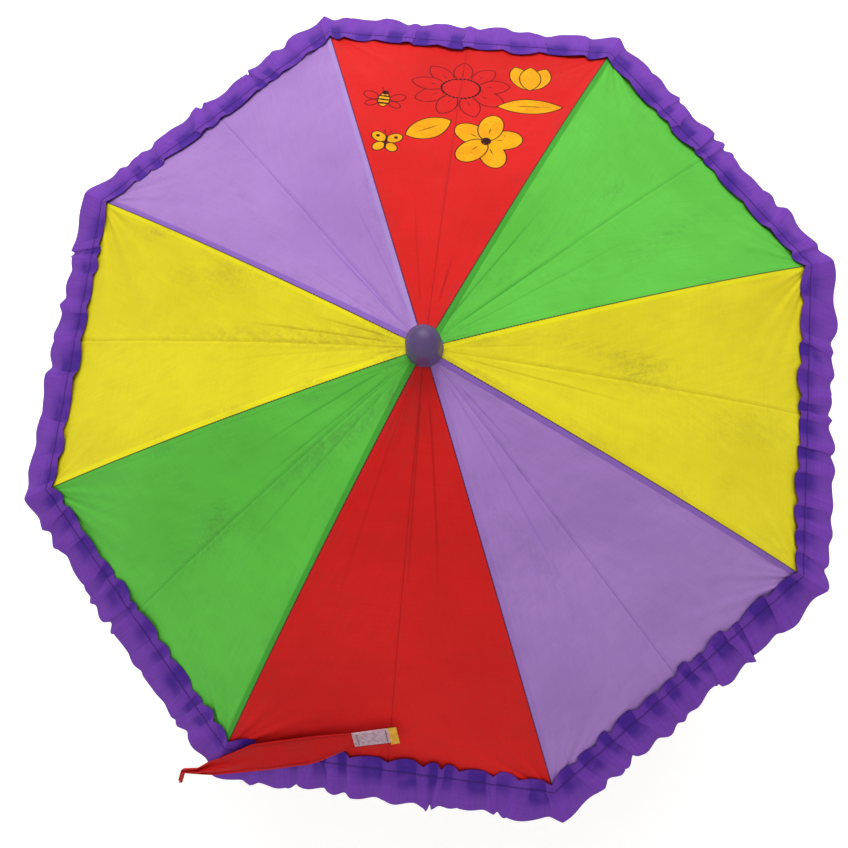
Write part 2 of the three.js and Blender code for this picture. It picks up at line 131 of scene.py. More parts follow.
# ---- the cloth's folds, wrinkles and seams
def plan_waves(seed, shortest, longest, count=14):
    """A smooth uneven field over the plan, the sum of sine waves in every direction."""
    draw = np.random.default_rng(seed)
    number = 2 * math.pi / draw.uniform(shortest, longest, count)
    heading = draw.uniform(0, 2 * math.pi, count)
    phase = draw.uniform(0, 2 * math.pi, count)

    def field(x, y):
        total = np.zeros(np.shape(x))
        for k, turn, start in zip(number, heading, phase):
            total = total + np.sin(k * (x * math.cos(turn) + y * math.sin(turn)) + start)
        return total / math.sqrt(count)

    return field


def fan_waves(seed, fewest, most, count=7):
    """Uneven wrinkles that spread out from the shaft. Whole numbers of them go round."""
    draw = np.random.default_rng(seed)
    number = draw.integers(fewest, most, count)
    phase = draw.uniform(0, 2 * math.pi, count)
    twist = draw.uniform(-14, 14, count)

    def field(angle, along):
        total = np.zeros(np.shape(angle))
        for n, start, turn in zip(number, phase, twist):
            total = total + np.sin(n * angle + start + turn * along)
        return total / math.sqrt(count)

    return field


broad_waves = plan_waves(11, 0.05, 0.16)
fine_waves = plan_waves(12, 0.012, 0.035, 20)
soil_waves = plan_waves(13, 0.018, 0.07, 20)
apex_waves = fan_waves(14, 17, 60)
gate_waves = fan_waves(15, 3, 11)
CORNER_FOLDS = 11
HEM_PUCKER = 0.011
FINE_PUCKER = 0.0071
CREASE_WIDTH = 0.0006


def creases_of(gore):
    """Sharp creases that run out from the cap: shares of the width at cap and hem, start, end and strength."""
    draw = np.random.default_rng(40 + gore)
    found = []
    count = int(draw.integers(2, 5))
    for k in range(count):
        place = 0.14 + 0.72 * (k + draw.uniform(0.1, 0.9)) / count
        start = draw.uniform(0.012, 0.03)
        last, end = place + draw.uniform(-0.12, 0.12), start + draw.uniform(0.04, 0.22)
        found.append((place, last, start, end, draw.uniform(0.3, 1)))
    return found


CREASES = {gore: creases_of(gore) for gore in range(1, RIB_COUNT + 1)}


def crease_field(gore, along, share, chord):
    """How deep the creases are at a place, from 0 to 1."""
    deep = np.zeros(np.shape(along + share))
    for first, last, start, end, strength in CREASES[gore]:
        line = first + (last - first) * along / HEM
        window = smooth(along, start, start + 0.015) * (1 - smooth(along, 0.6 * end, end))
        deep = deep + strength * window * bell((share - line) * chord, CREASE_WIDTH + 0.0016 * along)
    return deep


# The seam's allowance lies under one gore and shows through it: (gore, end) gives how much darker and how much
# brighter it looks. End 0 is the gore's seam on its own rib, and end 1 the seam on the next.
SEAM_STRIP = 0.0048
SEAM_TONES = {
    (1, 1): (1.0, 0),
    (5, 1): (1.0, 0),
    (3, 0): (0, 0.4),
    (3, 1): (1.0, 0),
    (7, 1): (1.0, 0),
    (7, 0): (0.25, 0),
    (4, 0): (0, 0.8),
    (4, 1): (0, 1.0),
    (8, 1): (0, 1.0),
    (8, 0): (0.2, 0),
}

# Soiled places: gore, distance from the axis along its middle line, distance across it, length, width, strength.
STAINS = (
    (8, 0.161, 0.008, 0.026, 0.012, 1.0),
    (8, 0.120, 0.020, 0.060, 0.006, 0.5),
    (8, 0.250, -0.020, 0.050, 0.016, 0.4),
    (1, 0.209, 0.017, 0.012, 0.005, 1.0),
    (1, 0.215, -0.038, 0.050, 0.009, 0.45),
    (1, 0.110, 0.012, 0.055, 0.006, 0.4),
    (4, 0.070, -0.004, 0.050, 0.010, 0.7),
    (4, 0.155, -0.006, 0.060, 0.006, 0.6),
    (4, 0.240, -0.094, 0.020, 0.006, 0.8),
    (4, 0.150, -0.052, 0.070, 0.012, 0.5),
    (5, 0.218, -0.002, 0.022, 0.009, 0.9),
    (5, 0.198, -0.012, 0.010, 0.008, 0.8),
    (5, 0.073, 0.010, 0.045, 0.008, 0.8),
    (5, 0.130, 0.004, 0.080, 0.005, 0.5),
    (6, 0.045, -0.004, 0.030, 0.009, 0.5),
    (7, 0.150, -0.030, 0.070, 0.006, 0.4),
    (3, 0.200, 0.030, 0.060, 0.006, 0.25),
)


def spans(along, share):
    """Lengths on a gore: its width, the distances to its two seams, and the signed distance from its middle line."""
    chord = 2 * rib_point(along)[0] * HALF_SIN
    return chord, share * chord, (1 - share) * chord, (share - 0.5) * chord


def relief(gore, along, share):
    """How far the cloth stands up from a gore's smooth shape."""
    chord, first, second, middle = spans(along, share)
    seam = np.minimum(first, second)
    angle = rib_azimuth(gore) + share * SECTOR
    radius = rib_point(along)[0]
    x, y = radius * np.cos(angle), radius * np.sin(angle)
    free = smooth(seam, 0.001, 0.020)  # the cloth can't lift where it is stretched over a rib
    inside = 1 - smooth(along, HEM - 0.012, HEM)
    lift = free * inside * (0.0008 * broad_waves(x, y) + 0.00012 * fine_waves(x, y))
    gathered = smooth(along, 0.006, 0.024) * (1 - smooth(along, 0.05, 0.19))
    gate = 0.35 + 0.65 * smooth(gate_waves(angle, along), -0.6, 1.2)
    lift = lift + 0.00022 * gathered * gate * apex_waves(angle, along) * smooth(seam, 0, 0.006)
    lift = lift - 0.00045 * crease_field(gore, along, share, chord)
    back = HEM - along
    for end, across in ((0, first), (1, second)):
        distance = np.hypot(across, back)
        turn = np.arctan2(across, back)
        pulled = smooth(distance, 0.004, 0.03) * np.exp(-distance / 0.055)
        folds = np.sin(CORNER_FOLDS * turn + 1.9 * gore + 2.3 * end) + 0.5 * np.sin(2.3 * CORNER_FOLDS * turn + gore)
        lift = lift + 0.0011 * pulled * folds * smooth(across, 0, 0.008)
    pucker = np.sin(2 * math.pi * middle / HEM_PUCKER + 1.3 * gore) + 0.6 * np.sin(2 * math.pi * middle / FINE_PUCKER)
    lift = lift + 0.00035 * pucker * np.exp(-back / 0.011) * free
    lift = lift - 0.00035 * bell(middle, 0.0014) * smooth(along, 0.02, 0.06)
    lift = lift + 0.0002 * bell(np.abs(middle) - 0.0026, 0.0016) * smooth(along, 0.02, 0.06)
    # Two layers more lie under the strip beside each seam.
    strip = (1 - smooth(first, SEAM_STRIP - 0.0008, SEAM_STRIP)) + (1 - smooth(second, SEAM_STRIP - 0.0008, SEAM_STRIP))
    return lift + 0.00022 * strip


def cloth_point(gore, along, share, above=CLOTH_ABOVE):
    """A point of a gore: along its ribs, and its share of the way from its own rib to the next."""
    radius, height = rib_point(along, above)
    start, end = rib_azimuth(gore), rib_azimuth(gore) + SECTOR
    x = radius * ((1 - share) * math.cos(start) + share * math.cos(end))
    y = radius * ((1 - share) * math.sin(start) + share * math.sin(end))
    sag = SAG * 16 * share**2 * (1 - share) ** 2 * np.sin(math.pi * np.clip(along, 0, HEM) / HEM)
    return np.stack([x, y, height - sag + relief(gore, along, share)], -1)


def cloth_normal(gore, along, share):
    step = 0.0004
    turn = step / np.maximum(spans(along, share)[0], 0.004)
    outwards = cloth_point(gore, along + step, share) - cloth_point(gore, along - step, share)
    # A seam is a ridge, so its two sides keep their own slopes.
    low, high = np.maximum(share - turn, 0), np.minimum(share + turn, 1)
    round_it = cloth_point(gore, along, high) - cloth_point(gore, along, low)
    normal = np.cross(outwards, round_it)
    return normal / np.linalg.norm(normal, axis=-1, keepdims=True)


def cloth_tones(gore, along, share):
    """How soiled, how much darker and how much brighter a gore is from place to place. The darker share is painted
    shade in the creases, and the seams' allowances showing through.
    """
    chord, first, second, middle = spans(along, share)
    angle = rib_azimuth(gore) + share * SECTOR
    radius = rib_point(along)[0] * HALF_COS / np.cos((share - 0.5) * SECTOR)
    x, y = radius * np.cos(angle), radius * np.sin(angle)
    out = rib_point(along)[0] * HALF_COS
    uneven = soil_waves(x, y)
    soil = 0.08 + 0.08 * smooth(uneven, 0.2, 1.6)
    soil = soil + 0.30 * bell(middle, 0.0013) * smooth(uneven, -1.2, 0.8) * smooth(along, 0.03, 0.1)
    soil = soil + 0.40 * np.exp(-np.maximum(along - 0.012, 0) / 0.02) * smooth(apex_waves(angle, along), -1, 1)
    soil = soil + 0.25 * bell(np.minimum(first, second) - 0.004, 0.006) * smooth(uneven, -0.4, 1.2)
    for number, place, across, length, width, strength in STAINS:
        if number == gore:
            spot = bell((out - place) / length, 1) * bell((middle - across) / width, 1)
            soil = soil + 0.6 * strength * spot
    # Painted shade: darker in the creases, the deeper they are.
    dark, bright = 0.75 * crease_field(gore, along, share, chord), np.zeros(np.shape(middle))
    for end, distance in ((0, first), (1, second)):
        darker, brighter = SEAM_TONES.get((gore, end), (0, 0))
        strip = 1 - smooth(distance, SEAM_STRIP - 0.0005, SEAM_STRIP + 0.0005)
        strip = strip * smooth(along, 0.0, 0.012)
        dark, bright = dark + darker * strip, bright + brighter * strip
    return np.stack([np.clip(soil, 0, 1), np.clip(dark, 0, 1), bright], -1)


# ---- the print on one gore
# Millimetres on the gore: x across it, to the right as seen from the hem's side up, and y out from the shaft.
def local(x, y, centre, turn):
    """Places as seen from a centre, turned by some degrees."""
    c, s = math.cos(math.radians(turn)), math.sin(math.radians(turn))
    return (x - centre[0]) * c + (y - centre[1]) * s, -(x - centre[0]) * s + (y - centre[1]) * c


def ellipse(x, y, centre, half, turn=0.0):
    """Roughly the distance inside an ellipse, in millimetres. It is negative outside."""
    u, v = local(x, y, centre, turn)
    reach = np.hypot(u / half[0], v / half[1])
    slope = np.hypot(u / half[0] ** 2, v / half[1] ** 2) / np.maximum(reach, 1e-6)
    return (1 - reach) / np.maximum(slope, 1 / max(half))


def leaf(x, y, centre, length, width, turn=0.0):
    """The distance inside a leaf with two pointed ends."""
    u, v = local(x, y, centre, turn)
    a, b = length / 2, width / 2
    arc = (a * a + b * b) / (2 * b)
    return arc - np.hypot(u, np.abs(v) + arc - b)


NOTHING = -99.0
LINE = 0.9  # width of a drawn line
FLOWER = (0, 252)
FLOWER_RING = (17, 13)
FLOWER_PETALS = 9
RING_DOTS = 30
BLOSSOM = (27, 190)
BLOSSOM_PETALS = 5
TULIP = (60, 272)
TULIP_LEAF = (61, 234)
LONE_LEAF = (-22, 200)
BEE = (-64, 228)
BEE_BODY = (5, 8.5)
BUTTERFLY = (-54, 178)


def printed(along, share):
    """The print's fields: gold, gold beneath it and dark, and then two layers of petals and the veins."""
    x = -spans(along, share)[3] * 1000
    y = rib_point(along)[0] * HALF_COS * 1000
    layers = ("gold", "under", "dark", "petal", "petal_under", "vein")
    fields = {layer: np.full(np.shape(along + share), NOTHING) for layer in layers}

    def oval(layer, centre, half, turn=0.0):
        fields[layer] = np.maximum(fields[layer], ellipse(x, y, centre, half, turn))

    def pointed(layer, centre, length, width, turn=0.0):
        fields[layer] = np.maximum(fields[layer], leaf(x, y, centre, length, width, turn))

    def round_about(centre, across, up, turn):
        return centre[0] + across * math.cos(turn), centre[1] + up * math.sin(turn)

    # The large flower, drawn in outline round a dotted ring.
    for k in range(FLOWER_PETALS):
        turn = 2 * math.pi * (k + 0.25) / FLOWER_PETALS
        aim = math.degrees(math.atan2(23 * math.sin(turn), 29 * math.cos(turn)))
        middle = round_about(FLOWER, 29, 23, turn)
        pointed("petal_under" if k % 2 else "petal", middle, 29 + 3 * math.sin(5 * k), 17, aim)
        pointed("vein", round_about(FLOWER, 25, 20, turn), 9, LINE, math.degrees(turn))
    disc = ellipse(x, y, FLOWER, FLOWER_RING)
    for layer in ("petal", "petal_under"):
        fields[layer] = np.where(disc > -1.5, NOTHING, fields[layer])
    for k in range(RING_DOTS):
        turn = 2 * math.pi * k / RING_DOTS
        oval("dark", round_about(FLOWER, *FLOWER_RING, turn), (1.5, 1.1), math.degrees(turn) + 90)
    # A golden blossom, seen from the front.
    for k in range(BLOSSOM_PETALS):
        turn = 2 * math.pi * (k + 0.1) / BLOSSOM_PETALS
        oval("gold" if k % 2 else "under", round_about(BLOSSOM, 15, 16, turn), (15, 10.5), math.degrees(turn))
        pointed("dark", round_about(BLOSSOM, 12, 12, turn), 8, LINE, math.degrees(turn))
    oval("dark", BLOSSOM, (4.2, 4.2))
    # A tulip and its long leaf, and a leaf on the other side.
    for lean, layer in ((-26, "under"), (26, "under"), (0, "gold")):
        pointed(layer, (TULIP[0] + 0.32 * lean, TULIP[1]), 34, 19, 90 - 0.8 * lean)
    for place, length, width, rib, turn in ((TULIP_LEAF, 56, 18, 40, 4), (LONE_LEAF, 42, 23, 30, 32)):
        pointed("gold", place, length, width, turn)
        pointed("dark", place, rib, LINE, turn)
    # A bee, with a striped body and two pairs of wings.
    oval("gold", BEE, BEE_BODY)
    for step in (-4.5, 0, 4.5):
        stripe = np.minimum(ellipse(x, y, (BEE[0], BEE[1] + step), (6, 1.1)), ellipse(x, y, BEE, BEE_BODY))
        fields["dark"] = np.maximum(fields["dark"], stripe)
    oval("dark", (BEE[0], BEE[1] + 9), (3, 2.6))
    oval("dark", BUTTERFLY, (1.1, 8))
    for side in (-1, 1):
        oval("petal", (BEE[0] + side * 11.5, BEE[1] + 4), (7, 4.2), side * 24)
        oval("petal_under", (BEE[0] + side * 10, BEE[1] - 5), (5.5, 3.4), -side * 24)
        pointed("dark", (BEE[0] + side * 2.6, BEE[1] + 13.5), 6, LINE, 90 - side * 24)
        # A butterfly.
        oval("gold", (BUTTERFLY[0] + side * 6.4, BUTTERFLY[1] + 5.2), (7, 5), side * 36)
        oval("under", (BUTTERFLY[0] + side * 5.2, BUTTERFLY[1] - 5.4), (5.4, 4.4), -side * 40)
        oval("dark", (BUTTERFLY[0] + side * 7.4, BUTTERFLY[1] + 6), (1.6, 1.6))
        pointed("dark", (BUTTERFLY[0] + side * 2.4, BUTTERFLY[1] + 11.5), 7, LINE, 90 - side * 28)
    found = [fields[layer] for layer in layers]
    return np.stack(found[:3], -1), np.stack(found[3:], -1)


# ---- making meshes
def object_of(name, points, faces, material):
    mesh = bpy.data.meshes.new(name)
    mesh.from_pydata([tuple(p) for p in points], [], faces)
    mesh.materials.append(material)
    mesh.polygons.foreach_set("use_smooth", np.full(len(mesh.polygons), True))
    mesh.update()
    made = bpy.data.objects.new(name, mesh)
    bpy.context.scene.collection.objects.link(made)
    return made


def add_field(mesh, name, values):
    kind = "FLOAT_VECTOR" if values.ndim == 2 else "FLOAT"
    layer = mesh.attributes.new(name, kind, "POINT")
    layer.data.foreach_set("vector" if values.ndim == 2 else "value", values.astype(np.float32).ravel())


def upward_normals(points):
    normals = np.cross(np.gradient(points, axis=0), np.gradient(points, axis=1))
    normals = normals / np.maximum(np.linalg.norm(normals, axis=-1, keepdims=True), 1e-12)
    return -normals if normals[..., 2].sum() < 0 else normals


def cloth_mesh(name, points, normals, thickness, material, fields):
    """A closed thin sheet on both sides of a grid of points. fields are numbers or vectors of each point."""
    rows, columns = points.shape[:2]
    number = np.arange(rows * columns).reshape(rows, columns)
    quads = np.stack([number[:-1, :-1], number[1:, :-1], number[1:, 1:], number[:-1, 1:]], -1).reshape(-1, 4)
    a, b, c = (points.reshape(-1, 3)[quads[:, k]] for k in (0, 1, 2))
    middle = normals.reshape(-1, 3)[quads[:, 0]]
    flipped = (np.cross(b - a, c - b) * middle).sum() < 0
    if flipped:
        quads = quads[:, ::-1]
    under = rows * columns
    rims = []
    for line in (number[0], number[-1][::-1], number[:, -1], number[:, 0][::-1]):
        rims.append(np.stack([line[:-1], line[:-1] + under, line[1:] + under, line[1:]], -1))
    rims = np.concatenate(rims)
    if not flipped:
        rims = rims[:, ::-1]
    faces = np.concatenate([quads, quads[:, ::-1] + under, rims]).tolist()
    both = np.concatenate([(points + side * normals * thickness / 2).reshape(-1, 3) for side in (1, -1)])
    made = object_of(name, both, faces, material)
    aims = np.concatenate([normals.reshape(-1, 3), -normals.reshape(-1, 3)])
    made.data.normals_split_custom_set_from_vertices([tuple(n) for n in aims])
    for label, values in fields.items():
        flat = values.reshape(under, -1) if values.ndim == 3 else values.reshape(under)
        add_field(made.data, label, np.concatenate([flat, flat]))
    add_field(made.data, "rest", both)
    return made


LEAST_CUT = 0.01  # the least width and length given for a flat cut


def length_of(line):
    return np.linalg.norm(np.diff(line, axis=0), axis=-1).sum()


def cut_area(points):
    """Width, length and area of a grid's flat cut, taken from its longest edges and its own surface."""
    a, b, c, d = points[:-1, :-1], points[1:, :-1], points[1:, 1:], points[:-1, 1:]
    area = (np.linalg.norm(np.cross(b - a, d - a), axis=-1) + np.linalg.norm(np.cross(b - c, d - c), axis=-1)).sum() / 2
    width = max(length_of(points[0]), length_of(points[-1]), LEAST_CUT)
    length = max(length_of(points[:, 0]), length_of(points[:, -1]), LEAST_CUT)
    return width, length, area


# ---- materials
def linear(red, green, blue):
    """A colour given as it looks on a screen, from 0 to 255."""
    shares = [value / 255 for value in (red, green, blue)]
    return (*[s / 12.92 if s <= 0.04045 else ((s + 0.055) / 1.055) ** 2.4 for s in shares], 1.0)


class Look:
    """A material: one Principled shader and the nodes that feed it."""

    def __init__(self, name, roughness, metallic=0.0, **sockets):
        self.material = bpy.data.materials.new(name)
        self.material.use_nodes = True
        self.nodes = self.material.node_tree.nodes
        self.links = self.material.node_tree.links
        self.shader = self.nodes["Principled BSDF"]
        self.set("Roughness", roughness)
        self.set("Metallic", metallic)
        for label, value in sockets.items():
            self.set(label.replace("_", " "), value)

    def feed(self, socket, value):
        if isinstance(value, bpy.types.NodeSocket):
            self.links.new(value, socket)
        else:
            socket.default_value = value

    def set(self, label, value):
        self.feed(self.shader.inputs[label], value)

    def node(self, kind, inputs):
        made = self.nodes.new("ShaderNode" + kind)
        for label, value in inputs.items():
            self.feed(made.inputs[label], value)
        return made

    def attribute(self, name, output="Vector"):
        node = self.node("Attribute", {})
        node.attribute_name = name
        return node.outputs[output]

    def split(self, vector):
        return self.node("SeparateXYZ", {0: vector}).outputs

    def stretched(self, vector, scale):
        return self.node("Mapping", {"Vector": vector, "Scale": scale}).outputs[0]

    def noise(self, vector, scale, detail=3.0, rough=0.55):
        inputs = {"Vector": vector, "Scale": scale, "Detail": detail, "Roughness": rough}
        return self.node("TexNoise", inputs).outputs[0]

    def ridges(self, vector, direction, pitch):
        """Ridges across a direction, one for each pitch in metres."""
        node = self.node("TexWave", {"Vector": vector, "Scale": 2 * math.pi / (20 * pitch)})
        node.bands_direction = direction
        return node.outputs[1]

    def math(self, operation, a, b=0.0):
        node = self.node("Math", {0: a, 1: b})
        node.operation = operation
        return node.outputs[0]

    def times(self, a, b):
        return self.math("MULTIPLY", a, b)

    def step(self, value, low, high, start=0.0, end=1.0):
        """start below low, end above high, and smooth between them."""
        node = self.node("MapRange", dict(enumerate((value, low, high, start, end))))
        node.interpolation_type = "SMOOTHSTEP"
        return node.outputs[0]

    def mix(self, share, first, second):
        node = self.node("Mix", {})
        node.data_type = "RGBA"
        for socket, value in ((0, share), (6, first), (7, second)):
            self.feed(node.inputs[socket], value)
        return node.outputs[2]

    def bump(self, height, distance, strength):
        node = self.node("Bump", {"Strength": strength, "Distance": distance, "Height": height})
        self.set("Normal", node.outputs[0])


DIRT = linear(92, 84, 74)
SEAM_SHADOW = linear(60, 34, 50)
THREAD_PITCH = 0.0008


def weave_of(look, cloth):
    """Warp and weft threads as a height, and uneven streaks along both as a share."""
    warp, weft = (look.ridges(cloth, direction, THREAD_PITCH) for direction in "XY")
    neither = look.times(look.math("SUBTRACT", 1.0, warp), look.math("SUBTRACT", 1.0, weft))
    threads = look.math("ADD", look.times(warp, weft), neither)
    along = look.noise(look.stretched(cloth, (900, 25, 1)), 1.0, 2.0)
    across = look.noise(look.stretched(cloth, (25, 900, 1)), 1.0, 2.0)
    return threads, look.times(look.math("ADD", along, across), 0.5)


def canopy_fabric(name, main, shade, dark, bright, ink=None):
    """Plain-weave polyester: the seams' allowances show through it, it is soiled in places, and shade is painted in its
    creases, along its middle fold and along its seams.
    """
    look = Look(name, 0.75, Specular_IOR_Level=0.14)
    cloth, tones = look.attribute("cloth"), look.split(look.attribute("tones"))
    threads, streaks = weave_of(look, cloth)
    rest = look.attribute("rest")
    cloudy = look.step(look.noise(rest, 9.0, 4.0), 0.35, 0.7)
    colour = look.mix(look.times(cloudy, 0.55), main, shade)
    colour = look.mix(look.step(streaks, 0.38, 0.66, 0.0, 0.30), colour, shade)
    colour = look.mix(look.times(threads, 0.10), colour, shade)
    # The tones' second share: painted shade in the creases, and the seams' allowances showing through.
    colour = look.mix(look.times(tones[1], 0.75), colour, dark)
    colour = look.mix(look.times(tones[2], 0.7), colour, bright)
    if ink:
        colour = ink(look, colour)
    grains = look.step(look.noise(rest, 260.0, 6.0, 0.8), 0.42, 0.60, 0.0, 0.5)
    smears = look.step(look.noise(look.stretched(cloth, (190, 42, 1)), 1.0, 5.0, 0.7), 0.40, 0.62, 0.0, 0.5)
    soiled = look.times(tones[0], look.math("ADD", grains, smears))
    dirt = tuple(0.5 * a + 0.25 * b for a, b in zip(DIRT, dark))
    colour = look.mix(look.times(soiled, 0.62), colour, dirt)
    # Painted shade: darker along the sharp fold on the middle line, and along the seams, where the cloth is sewn down
    # hard.
    fold_shade = look.step(look.math("ABSOLUTE", look.attribute("middle", "Fac")), 0.0003, 0.0007, 0.42, 0.0)
    sewn = look.step(look.split(cloth)[2], 0.0003, 0.0009, 0.65, 0.0)
    colour = look.mix(look.math("MAXIMUM", fold_shade, sewn), colour, dark)
    colour = look.mix(look.step(look.split(cloth)[2], 0.0002, 0.0006, 0.5, 0.0), colour, SEAM_SHADOW)
    look.set("Base Color", colour)
    look.bump(threads, 0.00006, 0.5)
    return look.material


def ink_of(look, ground):
    """The print over the ground colour: golden fields, then petals' outlines, then dark marks."""
    gold, under, dark = look.split(look.attribute("ink"))
    petal, petal_under, vein = look.split(look.attribute("outline"))
    golden, deep_gold = linear(250, 178, 8), linear(236, 160, 8)
    maroon, black = linear(110, 14, 20), linear(52, 14, 16)
    worn = look.step(look.noise(look.attribute("rest"), 300.0, 4.0), 0.30, 0.42, 0.55, 1.0)

    def over(colour, cover, paint):
        return look.mix(look.times(cover, worn), colour, paint)

    def outline(field, half):
        return look.step(look.math("ABSOLUTE", field), half, half + 0.35, 1.0, 0.0)

    uneven = look.step(look.noise(look.attribute("rest"), 60.0), 0.35, 0.7)
    gold_paint = look.mix(uneven, golden, deep_gold)
    def inside(field):
        return look.step(field, -0.15, 0.15)

    uncovered = look.step(petal, -0.5, 0.0, 1.0, 0.0)
    colour = over(ground, look.times(outline(petal_under, 0.32), uncovered), maroon)
    colour = over(colour, outline(petal, 0.32), maroon)
    colour = over(colour, inside(vein), maroon)
    for field in (under, gold):
        colour = over(colour, inside(field), gold_paint)
        colour = over(colour, outline(field, 0.30), black)
    return over(colour, inside(dark), black)


def ruffle_fabric():
    """Thin gathered polyester, with painted shade in the pleats' troughs where a pleat lies on another, among the
    gathers at the stitches, and along the fold lines and the sewn line.
    """
    look = Look("ruffle_cloth", 0.7, Specular_IOR_Level=0.16)
    cloth, tones = look.attribute("cloth"), look.split(look.attribute("tones"))
    threads, streaks = weave_of(look, cloth)
    main, deep, layered_shade, crease_shade = linear(124, 62, 182), linear(98, 44, 158), linear(66, 22, 142), linear(40, 12, 92)
    colour = look.mix(look.step(streaks, 0.4, 0.65, 0.0, 0.5), main, deep)
    uneven = look.noise(look.attribute("rest"), 60.0, 4.0)
    # Painted shade in the pleats' troughs and among the gathers, then darker still along the fold lines and the sewn
    # line.
    colour = look.mix(look.times(tones[1], look.step(uneven, 0.25, 0.6, 0.55, 1.0)), colour, layered_shade)
    colour = look.mix(tones[2], colour, crease_shade)
    colour = look.mix(look.times(tones[0], 0.25), colour, DIRT)
    look.set("Base Color", colour)
    look.bump(threads, 0.00006, 0.4)
    return look.material


def strap_fabric():
    look = Look("strap_cloth", 0.75, Specular_IOR_Level=0.12)
    cloth, tones = look.attribute("cloth"), look.split(look.attribute("tones"))
    threads, streaks = weave_of(look, cloth)
    main, deep = linear(208, 22, 22), linear(176, 12, 16)
    colour = look.mix(look.step(streaks, 0.4, 0.65, 0.0, 0.5), main, deep)
    # The tones' second share is painted shade along the sewn lines.
    colour = look.mix(tones[1], colour, deep)
    colour = look.mix(look.times(tones[0], 0.12), colour, DIRT)
    look.set("Base Color", colour)
    look.bump(threads, 0.00008, 0.5)
    return look.material


def plain(name, main, shade, roughness, scale=60.0, metallic=0.0, grain=0.00003, **sockets):
    """Moulded plastic, metal or thread: two tones, uneven gloss and fine marks."""
    look = Look(name, roughness, metallic, **sockets)
    place = look.node("TexCoord", {}).outputs["Object"]
    cloudy = look.noise(place, scale, 4.0)
    look.set("Base Color", look.mix(look.step(cloudy, 0.3, 0.75), main, shade))
    fine = look.noise(place, scale * 14, 3.0)
    look.set("Roughness", look.step(fine, 0.2, 0.8, roughness * 0.75, min(1.0, roughness * 1.3)))
    look.bump(fine, grain, 0.6)
    return look.material


# The dark tone is also the colour of the painted shade in the creases, along the middle fold and along the seams.
FABRIC_TONES = {  # main, shade, dark and bright
    "green": ((102, 204, 76), (86, 184, 58), (58, 156, 46), (134, 220, 110)),
    "red": ((226, 34, 32), (202, 20, 20), (150, 12, 18), (228, 60, 52)),
    "lavender": ((178, 136, 208), (158, 116, 190), (132, 90, 184), (184, 166, 230)),
    "yellow": ((240, 226, 40), (222, 204, 26), (196, 174, 20), (248, 238, 24)),
}
FABRICS = {
    colour: canopy_fabric(f"{colour}_cloth", *[linear(*tone) for tone in tones])
    for colour, tones in FABRIC_TONES.items()
}
PRINTED_FABRIC = canopy_fabric("printed_red_cloth", *[linear(*tone) for tone in FABRIC_TONES["red"]], ink_of)
RUFFLE_FABRIC = ruffle_fabric()
STRAP_FABRIC = strap_fabric()
DARK_THREAD = plain("dark_thread", linear(58, 34, 62), linear(38, 22, 44), 0.8, 300.0)
RUFFLE_THREAD = plain("ruffle_thread", linear(70, 30, 120), linear(52, 22, 96), 0.8, 300.0)
RED_THREAD = plain("red_thread", linear(150, 20, 26), linear(120, 14, 20), 0.8, 300.0)
PURPLE_PLASTIC = plain("purple_moulding", linear(90, 68, 120), linear(72, 50, 98), 0.44, 45.0, 0.0, 0.00006)
WHITE_PLASTIC = plain("white_moulding", linear(236, 233, 226), linear(214, 209, 199), 0.42, 70.0)
BRIGHT_STEEL = plain("plated_steel", (0.68, 0.69, 0.71, 1), (0.5, 0.5, 0.52, 1), 0.26, 55.0, 1.0)
SPRING_STEEL = plain("spring_steel_strip", (0.5, 0.52, 0.55, 1), (0.36, 0.37, 0.4, 1), 0.34, 90.0, 1.0)
PATCH_FABRIC = plain(
    "hook_and_loop", linear(208, 178, 190), linear(172, 132, 148), 0.95, 420.0, 0.0, 0.0004, Sheen_Weight=0.4
)
TAB_FABRIC = plain("yellow_tab", linear(240, 184, 44), linear(214, 150, 34), 0.7, 300.0)

NODE_LOOKS = {
    "shaft_tube": BRIGHT_STEEL,
    "crown_notch": WHITE_PLASTIC,
    "crown_wire": BRIGHT_STEEL,
    "runner_sleeve": WHITE_PLASTIC,
    "runner_wire": BRIGHT_STEEL,
    "handle_collar": BRIGHT_STEEL,
    "open_catch": SPRING_STEEL,
    "closed_catch": SPRING_STEEL,
}
for rib in range(1, RIB_COUNT + 1):
    NODE_LOOKS[f"rib_{rib}"] = BRIGHT_STEEL
    NODE_LOOKS[f"strut_{rib}"] = BRIGHT_STEEL
    NODE_LOOKS[f"rib_tip_{rib}"] = WHITE_PLASTIC
for node, look in NODE_LOOKS.items():
    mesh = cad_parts[node].data
    mesh.materials.clear()
    mesh.materials.append(look)


def fold(piece, rib):
    """Lets a piece on one side of a rib fold up against the shaft with the rib."""
    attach(piece, f"rib_{rib}")
    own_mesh(piece)


